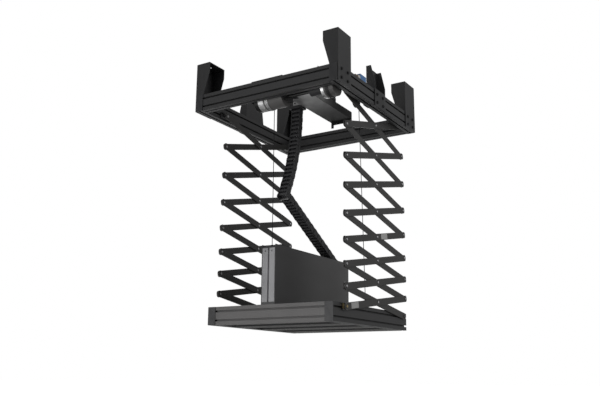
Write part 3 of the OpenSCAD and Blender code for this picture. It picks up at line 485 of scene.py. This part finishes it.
def add_block(work, low, high):
    """A plain block between two corners."""
    spots = [(x, y, z) for x in (low[0], high[0]) for y in (low[1], high[1]) for z in (low[2], high[2])]
    v = [work.verts.new(spot) for spot in spots]
    for face in ((0, 1, 3, 2), (4, 6, 7, 5), (0, 4, 5, 1), (2, 3, 7, 6), (0, 2, 6, 4), (1, 5, 7, 3)):
        work.faces.new([v[k] for k in face])


box_low, box_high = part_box("chain_top_bracket")
plate_zinc = metal("plate_zinc", (0.42, 0.42, 0.42), 0.38, scale=600)
clamp_plate_w = 0.042
clamp_plate_z = (-0.196, -0.175)
clamp_plate_t = 0.0016
clamp_plate_seat = 0.0003
clamp_plate_inset = 0.001
clamp_plate_y = box_low.y - clamp_plate_t
work = bmesh.new()
add_block(work, (box_high.x - clamp_plate_w, clamp_plate_y, clamp_plate_z[0]),
          (box_high.x - clamp_plate_inset, box_low.y + clamp_plate_seat, clamp_plate_z[1]))
made_from(work, "chain_clamp_plate", "upper_frame", plate_zinc, edge=0.0004)
clamp_screw_head = [(0, 0.0036), (0.0012, 0.0036), (0.002, 0.0022)]
work = bmesh.new()
for share in (0.25, 0.75):
    spot = (box_high.x - clamp_plate_w * share, box_low.y - clamp_plate_t * 0.9, sum(clamp_plate_z) / 2)
    lathe(work, clamp_screw_head, spot, axis="Y", steps=20, flip=-1)
made_from(work, "chain_clamp_screws", "upper_frame", black_steel)

# Motor. A finned motor with its fan cover lies in the channel behind the gearbox, on two cast
# cradles. Its casting is dark enamel, and the fan cover is moulded plastic with vents.
enamel = coated("motor_enamel", (0.035, 0.035, 0.038), 0.5, grain=900, grain_depth=0.0001, edge_light=0.4)
finished("motor_body", "upper_frame", enamel, edge=0.0008)
finished("motor_fan_cover", "upper_frame", cap_plastic, edge=0.0007)

# Winch plates and hood. Two folded black plates carry the left drum, a hood of thin sheet covers
# it, and a flange bearing on the right beam carries the right drum's end.
finished("winch_bearing_plates", "upper_frame", bracket_coat, edge=0.0008)
finished("winch_hood", "upper_frame", bracket_coat, edge=0.0007)

# Winch drums. Each drum is a black turned sleeve with a bright aluminium flange ring, keyed to
# the oiled shaft. The left ring has a blackened shoulder on its outer side.
drum_black = coated("drum_black", (0.095, 0.092, 0.09), 0.42, grain=900, edge_light=0.3)
turning_marks = (0.1, 1, 1)
ring_metal = metal("ring_aluminium", (0.66, 0.66, 0.66), 0.34, scale=500, stretch=turning_marks)
shoulder_w = 0.021
shoulder_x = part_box("drum_flanges")[0].x + shoulder_w
fade(ring_metal, "X", start=shoulder_x + 0.001, stop=shoulder_x, colour=(0.03, 0.03, 0.03))
shaft_metal = metal("shaft_steel", (0.05, 0.05, 0.05), 0.4, scale=500, stretch=turning_marks)
finished("winch_drums", "winch_rotor", drum_black, edge=0.0012)
finished("winch_shaft", "winch_rotor", shaft_metal, edge=0.001)
finished("drum_flanges", "winch_rotor", ring_metal, edge=0.0015)

# Terminal block. A blue feed-through block with a white plug and a brown relay stands on the
# right beam; small screws sit in its top in two rows.
blue_shell = coated("terminal_blue", (0.06, 0.17, 0.38), 0.35, grain=1600, edge_light=0.3)
plug_white = coated("plug_white", (0.55, 0.55, 0.53), 0.4, grain=1600, edge_light=0.1)
relay_brown = coated("relay_brown", (0.16, 0.1, 0.06), 0.4, grain=1600, edge_light=0.2)
block_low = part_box("terminal_block")[0]
relay_length = 0.0261
plane_slack = 0.00002
plug_reach = 0.0462
terminal = finished("terminal_block", "upper_frame", blue_shell, edge=0.0008)
terminal.data.materials.append(plug_white)
terminal.data.materials.append(relay_brown)
for face in terminal.data.polygons:
    from_front = face.center.y - block_low.y + plane_slack
    if from_front < plug_reach:
        face.material_index = 1 if from_front > relay_length else 2

# Terminal leads. Three thin insulated leads run from the white plug along the beam's top and
# tuck in beside the front corner bracket.


def tube(work, points, radius, sides=10):
    """A round tube along points, with closed ends."""
    rings = []
    for k, p in enumerate(points):
        ahead = points[min(k + 1, len(points) - 1)] - points[max(k - 1, 0)]
        turn = ahead.normalized().to_track_quat("Z", "X")
        rings.append([work.verts.new(p + turn @ Vector((radius * cos(a), radius * sin(a), 0)))
                      for a in (tau * s / sides for s in range(sides))])
    for a, b in zip(rings, rings[1:]):
        for s in range(sides):
            work.faces.new((a[s], a[(s + 1) % sides], b[(s + 1) % sides], b[s]))
    work.faces.new(rings[0][::-1])
    work.faces.new(rings[-1])


lead_r = 0.0016
lead_pitch = 0.005
lead_from_edge = 0.007
lead_start = 0.002
lead_stop = 0.004
lead_rise = 0.007
lead_wander = 0.003
lead_points = 15
rope_sharp = radians(80)
lead_tones = (("lead_brown", (0.16, 0.07, 0.03)), ("lead_blue", (0.04, 0.12, 0.35)),
              ("lead_grey", (0.2, 0.2, 0.2)))
start_y = block_low.y + lead_start
end_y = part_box("corner_brackets_front")[1].y - lead_stop
for number, (name, tone) in enumerate(lead_tones):
    x = block_low.x + lead_from_edge + number * lead_pitch
    route = []
    for k in range(lead_points):
        t = k / (lead_points - 1)
        sag = lead_r + lead_rise * (1 - t) ** 3
        wander = lead_wander * sin(pi * t) * (number - 1)
        route.append(Vector((x + wander, start_y + (end_y - start_y) * t, block_low.z + sag)))
    work = bmesh.new()
    tube(work, route, lead_r)
    made_from(work, name, "upper_frame", coated(name + "_skin", tone, 0.45, edge_light=0.0), sharp=rope_sharp)

# Side pulley. A grooved wheel on a short axle, carried by a strap on the right beam, turns the
# right cable from its level run down to the platform.
pulley_metal = metal("pulley_blackened", (0.07, 0.07, 0.072), 0.4, scale=500)
finished("pulley_bracket", "upper_frame", bracket_coat, edge=0.0007)
finished("side_pulley", "side_pulley_wheel", pulley_metal, edge=0.0006)

# Scissor arms. Flat steel bars, 30 by 5 mm with rounded ends, painted satin black, cross in
# eight stages on each side. The inner bar of a stage is arm A, the outer one arm B.
bar_coat = coated("bar_coat", (0.034, 0.033, 0.032), 0.4, grain=1100, edge_light=0.6)
stage_count = 8
bar_width = 0.03
bar_thick = 0.005
bar_end_corner = 0.0115
collar_gap = 0.0015
inner_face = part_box("arm_a8")[1].x - bar_thick
outer_face = inner_face + bar_thick + collar_gap


def pivots(i):
    """Rear pivot above, crossing, rear pivot below, and both front pivots of stage i, as (y, z)."""
    above = joint_at[f"stage{i}_rear_pivot"].yz
    cross = joint_at[f"stage{i}_crossing"].yz
    below = Vector((above.x, 2 * cross.y - above.y))
    return above, cross, below, 2 * cross - above, 2 * cross - below


def rounded(middle, along, length, width, corner, step):
    """The (y, z) outline of a plate with round corners, its length along a direction."""
    across = Vector((-along.y, along.x))
    reach, rise = length / 2 - corner, width / 2 - corner
    outline = []
    for u, w, first in ((reach, -rise, -90), (reach, rise, 0), (-reach, rise, 90), (-reach, -rise, 180)):
        for turned in range(0, 91, step):
            a = radians(first + turned)
            outline.append(middle + along * (u + corner * cos(a)) + across * (w + corner * sin(a)))
    return outline


def extrude(work, outline, x_low, x_high):
    """A solid with a (y, z) outline between two places on the x axis."""
    near = [work.verts.new((x_low, p.x, p.y)) for p in outline]
    far = [work.verts.new((x_high, p.x, p.y)) for p in outline]
    work.faces.new(near[::-1])
    work.faces.new(far)
    for k in range(len(near)):
        n = (k + 1) % len(near)
        work.faces.new((near[k], near[n], far[n], far[k]))


for i in range(1, stage_count + 1):
    above, cross, below, front_low, front_high = pivots(i)
    for arm, start, end, face in (("b", front_low, above, outer_face), ("a", front_high, below, inner_face)):
        span = end - start
        outline = rounded((start + end) / 2, span.normalized(), span.length + bar_width, bar_width,
                          bar_end_corner, 15)
        work = bmesh.new()
        extrude(work, outline, face, face + bar_thick)
        extrude(work, outline, -face - bar_thick, -face)
        bars = made_from(work, f"stage{i}_{arm}_bars", f"stage{i}_{arm}", bar_coat, edge=0.0007)
        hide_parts(f"arm_{arm}{i}")

# Rivets. Each crossing and end joint has a turned steel rivet with a dark washer under its
# rounded head; the heads of the front ends have larger washers over their oversize holes.
rivet_metal = metal("rivet_steel", (0.5, 0.5, 0.51), 0.32, scale=700)
washer_steel = coated("washer_steel", (0.03, 0.03, 0.032), 0.36, grain=900, edge_light=0.5, metallic=0.5)
head_reach = 0.0024
washer_r = 0.0085
washer_t = 0.0009
head_r = 0.0056
inner_head_reach = 0.0014
small_washer_share = 0.8
shank_r = head_r * 0.6
shank = [(0, shank_r), (collar_gap + bar_thick, shank_r)]
dome_shape = ((0, 1), (0.35, 1), (0.75, 0.82), (1, 0.45), (0.86, 0.22))


def add_head(work, y, z, x, way, radius, reach):
    """A low domed head that stands out from x along way."""
    dome = [(reach * along, radius * out) for along, out in dome_shape]
    lathe(work, dome, (x, y, z), flip=way, steps=24)


def add_washer(work, y, z, x, way, radius):
    """A flat washer with a broken outer edge."""
    flat = [(0, radius), (washer_t * 0.7, radius), (washer_t, radius * 0.93)]
    lathe(work, flat, (x, y, z), flip=way)


for i in range(1, stage_count + 1):
    above, cross, below, front_low, front_high = pivots(i)
    spots = {"b": [(cross, washer_r * small_washer_share)]}
    if i < stage_count:
        spots["b"].append((front_low, washer_r))
        spots["a"] = [(below, washer_r * small_washer_share)]
    for arm, places in spots.items():
        heads = bmesh.new()
        washers = bmesh.new()
        for side in (-1, 1):
            for spot, washer in places:
                out = side * (outer_face + bar_thick)
                head_seat = out + side * washer_t * 0.9
                shank_start = side * (inner_face + bar_thick * 0.5)
                add_washer(washers, spot.x, spot.y, out, side, washer)
                add_head(heads, spot.x, spot.y, head_seat, side, head_r, head_reach - washer_t)
                lathe(heads, shank, (shank_start, spot.x, spot.y), flip=side, steps=20)
                add_head(heads, spot.x, spot.y, side * inner_face, -side, head_r, inner_head_reach)
        made_from(heads, f"stage{i}_{arm}_rivets", f"stage{i}_{arm}", rivet_metal)
        made_from(washers, f"stage{i}_{arm}_washers", f"stage{i}_{arm}", washer_steel)

# Arm stickers. Two small blank stickers of pale paper are stuck on outer bars of the right
# scissor stack, one beside a crossing and one near the lowest front end.
sticker_paper = coated("sticker_paper", (0.4, 0.4, 0.39), 0.7, grain=2400, edge_light=0.0)
sticker_long = 0.066
sticker_wide = 0.025
sticker_t = 0.0002


def add_sticker(name, i, from_front):
    """A sticker on the right outer bar of stage i, from_front away from its front pivot."""
    above, cross, below, front_low, front_high = pivots(i)
    along = (above - front_low).normalized()
    across = Vector((-along.y, along.x))
    middle = front_low + along * from_front
    long, wide = along * sticker_long / 2, across * sticker_wide / 2
    work = bmesh.new()
    x = outer_face + bar_thick
    extrude(work, (middle - long - wide, middle + long - wide, middle + long + wide, middle - long + wide),
            x - sticker_t, x + sticker_t)
    made_from(work, name, f"stage{i}_b", sticker_paper)


add_sticker("sticker_crossing", 5, from_front=0.369)
add_sticker("sticker_front_end", 8, from_front=0.072)

# Scissor ends. The front ends of the top and bottom stages run on blocks in slotted rails; the
# rear ends turn on pads. The lower blocks are brass, the rest is zinc-grey steel.
dull_brass = metal("dull_brass", (0.52, 0.42, 0.22), 0.4, scale=500)
finished("top_slide_rails", "upper_frame", bracket_coat, edge=0.0005)
finished("top_pivot_pads", "upper_frame", zinc_sheet, edge=0.0005)
finished("top_slide_blocks", "top_blocks", rivet_metal, edge=0.0006)
finished("bottom_slide_blocks", "bottom_blocks", dull_brass, edge=0.0007)
finished("platform_scissor_mounts", "platform", zinc_sheet, edge=0.0005)

# Energy chain. Moulded black links with two side plates and snap-in crossbars hang from the
# channel, fold at the knee and run down into the tray, with the projector's leads inside.
chain_black = coated("chain_plastic", (0.024, 0.024, 0.026), 0.42, grain=1500, edge_light=0.35)
lead_rubber = coated("lead_rubber", (0.03, 0.03, 0.033), 0.55, grain=1200, edge_light=0.1)
chain_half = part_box("energy_chain")[1].x
link_half_height = 0.0146
plate_thick = 0.0026
chain_top = Vector((-0.112, -0.208))
chain_bulge = Vector((-0.112, -0.4306))
chain_knee = Vector((-0.218, -0.6471))
chain_end = Vector((0.266, -0.9261))
upper_links = 21
lower_links = 28


def bow(t):
    """The upper run's middle line, from the channel at 0 to the knee at 1."""
    return (1 - t) ** 2 * chain_top + 2 * t * (1 - t) * chain_bulge + t * t * chain_knee


def bow_way(t):
    """The upper run's direction."""
    return (2 * (1 - t) * (chain_bulge - chain_top) + 2 * t * (chain_knee - chain_bulge)).normalized()


lower_way = (chain_end - chain_knee).normalized()
link_places = []
for k in range(upper_links):
    t = (k + 0.5) / upper_links
    link_places.append((bow(t), bow_way(t)))
for k in range(1, lower_links + 1):
    link_places.append((chain_knee + (chain_end - chain_knee) * (k / lower_links), lower_way))


def add_slab(work, middle, way, length, height, x_low, x_high, corner, lift=0.0):
    """A plate of a link, lifted off the run's middle line."""
    place = middle + Vector((-way.y, way.x)) * lift
    extrude(work, rounded(place, way, length, height, corner, 30), x_low, x_high)


plate_length = 0.0262
plate_height = 2 * link_half_height
plate_corner = 0.0062
link_inset = plate_thick * 0.55
link_side_gap = 0.0006
inner_length = plate_length * 0.55
inner_height = plate_height * 0.8
inner_corner = 0.003
inner_reach = plate_thick * 1.8
bar_long = 0.0102
bar_tall = 0.0034
bar_corner = 0.0012
bar_inset = 0.0008
bar_reach = chain_half - plate_thick * 1.5
joint_back = plate_length * 0.39
knuckle_r = 0.0052
knuckle = [(-plate_thick, knuckle_r), (0.0004, knuckle_r), (0.0006, knuckle_r * 0.85)]
work = bmesh.new()
for number, (middle, way) in enumerate(link_places):
    x_out = chain_half - link_side_gap - (link_inset if number % 2 else 0.0)
    joint = middle - way * joint_back
    for side in (-1, 1):
        low, high = sorted((side * (x_out - plate_thick), side * x_out))
        add_slab(work, middle, way, plate_length, plate_height, low, high, plate_corner)
        low, high = sorted((side * (x_out - inner_reach), side * (x_out - plate_thick)))
        add_slab(work, middle, way, inner_length, inner_height, low, high, inner_corner)
        lathe(work, knuckle, (side * (chain_half - link_side_gap), joint.x, joint.y), flip=side, steps=16)
    for face in (-1, 1):
        lift = face * (link_half_height - bar_tall / 2 - bar_inset)
        add_slab(work, middle, way, bar_long, bar_tall, -bar_reach, bar_reach, bar_corner, lift)
knee_r = 0.0138
knee_waist_r = 0.009
knee_half = [(chain_half - 0.0045, knee_waist_r), (chain_half - 0.004, knee_r), (chain_half - 0.001, knee_r)]
knee_roll = [(-x, radius) for x, radius in knee_half[::-1]] + knee_half
lathe(work, knee_roll, (0, chain_knee.x, chain_knee.y), steps=24)
chain_piece = made_from(work, "energy_chain_links", "upper_frame", chain_black)
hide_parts("energy_chain")


def shortens(piece):
    """The piece hangs from the frame, with its own copy of its mesh."""
    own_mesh(piece)


shortens(chain_piece)

bow_points = 40
straight_points = 30
leads_in_chain = ((-0.0135, 0.0045), (-0.003, 0.0052), (0.0075, 0.0036), (0.0155, 0.003))
run = [bow(k / bow_points) for k in range(bow_points)]
run += [chain_knee + (chain_end - chain_knee) * (k / (straight_points - 1)) for k in range(straight_points)]
work = bmesh.new()
for across, radius in leads_in_chain:
    tube(work, [Vector((across, p.x, p.y)) for p in run], radius)
leads = made_from(work, "chain_leads", "upper_frame", lead_rubber)
shortens(leads)

# Knee clamp. A bent steel strip lies round the last hanging link, zinc-bright at the front and
# blackened at the sides, and keeps the fold from opening.
clamp_metal = metal("clamp_zinc", (0.5, 0.5, 0.5), 0.4, scale=600)
clamp_past_link = 0.026
clamp_long = 0.017
clamp_thick = 0.0018
clamp_corner = 0.0008
clamp_proud = 0.0002
clamp_end_gap = 0.0005
clamp_side_gap = 0.0001
last_link, clamp_way = link_places[upper_links - 1]
clamp_at = last_link + clamp_way * clamp_past_link
clamp_half = chain_half - clamp_end_gap
work = bmesh.new()
add_slab(work, clamp_at, clamp_way, clamp_long, clamp_thick, -clamp_half, clamp_half, clamp_corner,
         link_half_height + clamp_proud)
for side in (-1, 1):
    low, high = sorted((side * (chain_half - clamp_thick), side * (chain_half - clamp_side_gap)))
    add_slab(work, clamp_at, clamp_way, clamp_long, plate_height, low, high, clamp_corner)
knee_clamp = made_from(work, "knee_clamp", "upper_frame", clamp_metal, edge=0.0003)
knee_clamp.data.materials.append(chain_black)
for face in knee_clamp.data.polygons:
    if abs(face.normal.x) > 0.7:
        face.material_index = 1
shortens(knee_clamp)

# Lifting cables. Two thin stranded steel ropes carry the platform: the left one drops from its
# drum to the bridge over the tray, the right one over the side pulley to the platform's beam.
rope_metal = metal("rope_steel", (0.05, 0.05, 0.052), 0.5, scale=900)
strand_count = 6
strand_lay = 0.03
strand_share = 1 / 6
strand_reach_share = 1 / 3
core_share = 0.2
core_points = 9
rings_per_lay = 8


def rope(work, start, end, diameter):
    """Six strands laid round a core, from start to end."""
    run = end - start
    turn = run.normalized().to_track_quat("Z", "X")
    steps = max(2, int(run.length / strand_lay * rings_per_lay))
    core = [start + run * (k / (core_points - 1)) for k in range(core_points)]
    tube(work, core, diameter * core_share, 6)
    reach = diameter * strand_reach_share
    for s in range(strand_count):
        path = []
        for k in range(steps + 1):
            a = tau * (s / strand_count + k / rings_per_lay)
            path.append(start + turn @ Vector((reach * cos(a), reach * sin(a), run.length * k / steps)))
        tube(work, path, diameter * strand_share, 5)


front_low, front_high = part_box("lift_cable_front")
cable_d = front_high.x - front_low.x
front_x = (front_low.x + front_high.x) / 2
front_y = (front_low.y + front_high.y) / 2
work = bmesh.new()
rope(work, Vector((front_x, front_y, front_high.z)), Vector((front_x, front_y, front_low.z)), cable_d)
front_rope = made_from(work, "front_rope", "upper_frame", rope_metal, sharp=rope_sharp)
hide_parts("lift_cable_front")
shortens(front_rope)

side_low, side_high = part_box("lift_cable_side")
side_y = (side_low.y + side_high.y) / 2
lean_drop = cable_d * 0.02
side_top = Vector((side_low.x + cable_d / 2, side_y, side_high.z - lean_drop))
side_foot = Vector((side_high.x - cable_d / 2, side_y, side_low.z + lean_drop))
work = bmesh.new()
rope(work, side_top, side_foot, cable_d)
side_rope = made_from(work, "side_rope", "upper_frame", rope_metal, sharp=rope_sharp)
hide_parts("lift_cable_side")
shortens(side_rope)
finished("side_cable_feed", "upper_frame", rope_metal, edge=0.0002)

# Wound rope. One layer of close turns lies on each drum beside its flange and turns with it: the
# left one is bright zinc wire, the right one is greased.
turn_pitch = 0.0038
turns_on_drum = 4
steps_per_turn = 28
drum_low, drum_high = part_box("winch_drums")
wound_reach = (drum_high.z - drum_low.z) / 2 + cable_d * 0.48
wound_gap = cable_d * 1.1
bright_rope = metal("bright_rope", (0.6, 0.6, 0.6), 0.4, scale=900)
greased_rope = metal("greased_rope", (0.1, 0.1, 0.1), 0.45, scale=900)
for name, first_x, strands in (("wound_rope_left", front_x, bright_rope),
                               ("wound_rope_right", side_top.x, greased_rope)):
    route = []
    for k in range(turns_on_drum * steps_per_turn + 1):
        turns = k / steps_per_turn
        route.append(Vector((first_x + wound_gap + turn_pitch * turns,
                             shaft_line.y + wound_reach * cos(tau * turns),
                             shaft_line.z + wound_reach * sin(tau * turns))))
    work = bmesh.new()
    tube(work, route, cable_d / 2, 7)
    made_from(work, name, "winch_rotor", strands, sharp=rope_sharp)

# Platform. Four slotted profiles as above, with a plastic cap at each front corner. Its front
# and rear beams carry the same black coat painted lighter, as painted light from below, and its
# front caps are black plastic painted lighter the same way. Three grooved slats carry the
# projector, coated black, with painted light on their downward faces, and with open gaps between them.
# Painted light: the front caps are the same black plastic as the other caps, painted lighter for the light
# that reaches them from below.
cap_painted_light = coated("cap_painted_light_plastic", (0.051, 0.051, 0.053), 0.5, grain=2600, grain_depth=0.00006,
                  edge_light=0.2)
for beam, coat, slot in (("front", painted_light_profile, "grey_profile"), ("rear", painted_light_profile, "grey_profile"),
                         ("left", dark_profile, "black_profile"), ("right", dark_profile, "black_profile")):
    finished(f"platform_{beam}_beam", "platform", coat, edge=0.0008)
finished("platform_end_caps", "platform", cap_painted_light, edge=0.0006)
slat_coat_painted_light_below = coated("slat_coat_painted_light_below", (0.012, 0.012, 0.012), 0.5, grain=1400)
# Painted light: faces that look down are painted pale for the light that reaches them from below; the coat
# itself is black.
fade(slat_coat_painted_light_below, "Z", start=-0.6, stop=-0.9, colour=(0.12, 0.119, 0.117), facing=True)
finished("platform_slats", "platform", slat_coat_painted_light_below, edge=0.0007)

# Cable tray. Two black side plates on a board keep the folded chain; a light slotted post with
# a dark cap closes the tray at the front.
tray_coat_painted_light = coated("tray_coat_painted_light", (0.041, 0.041, 0.042), 0.36, grain=1800, edge_light=0.5)
# Painted light: the plates' black colour grows lighter from the front towards the rear, as the light on them
# does.
fade(tray_coat_painted_light, "Y", start=-0.38, stop=0.22, colour=(0.13, 0.129, 0.129))
post_coat = coated("post_coat", (0.35, 0.35, 0.36), 0.45, grain=1400, edge_light=0.2)
for plate in ("tray_right_plate", "tray_left_plate", "tray_base"):
    finished(plate, "platform", tray_coat_painted_light, edge=0.0006)
finished("tray_front_post", "platform", post_coat, edge=0.0009)
finished("tray_post_cap", "platform", cap_plastic, edge=0.001)

# Cable anchors. A sheet bridge over the tray's front end holds the left cable's ferrule, and an
# eye with a ferrule holds the right cable on the platform's side beam.
finished("cable_anchors", "platform", bracket_coat, edge=0.0007)
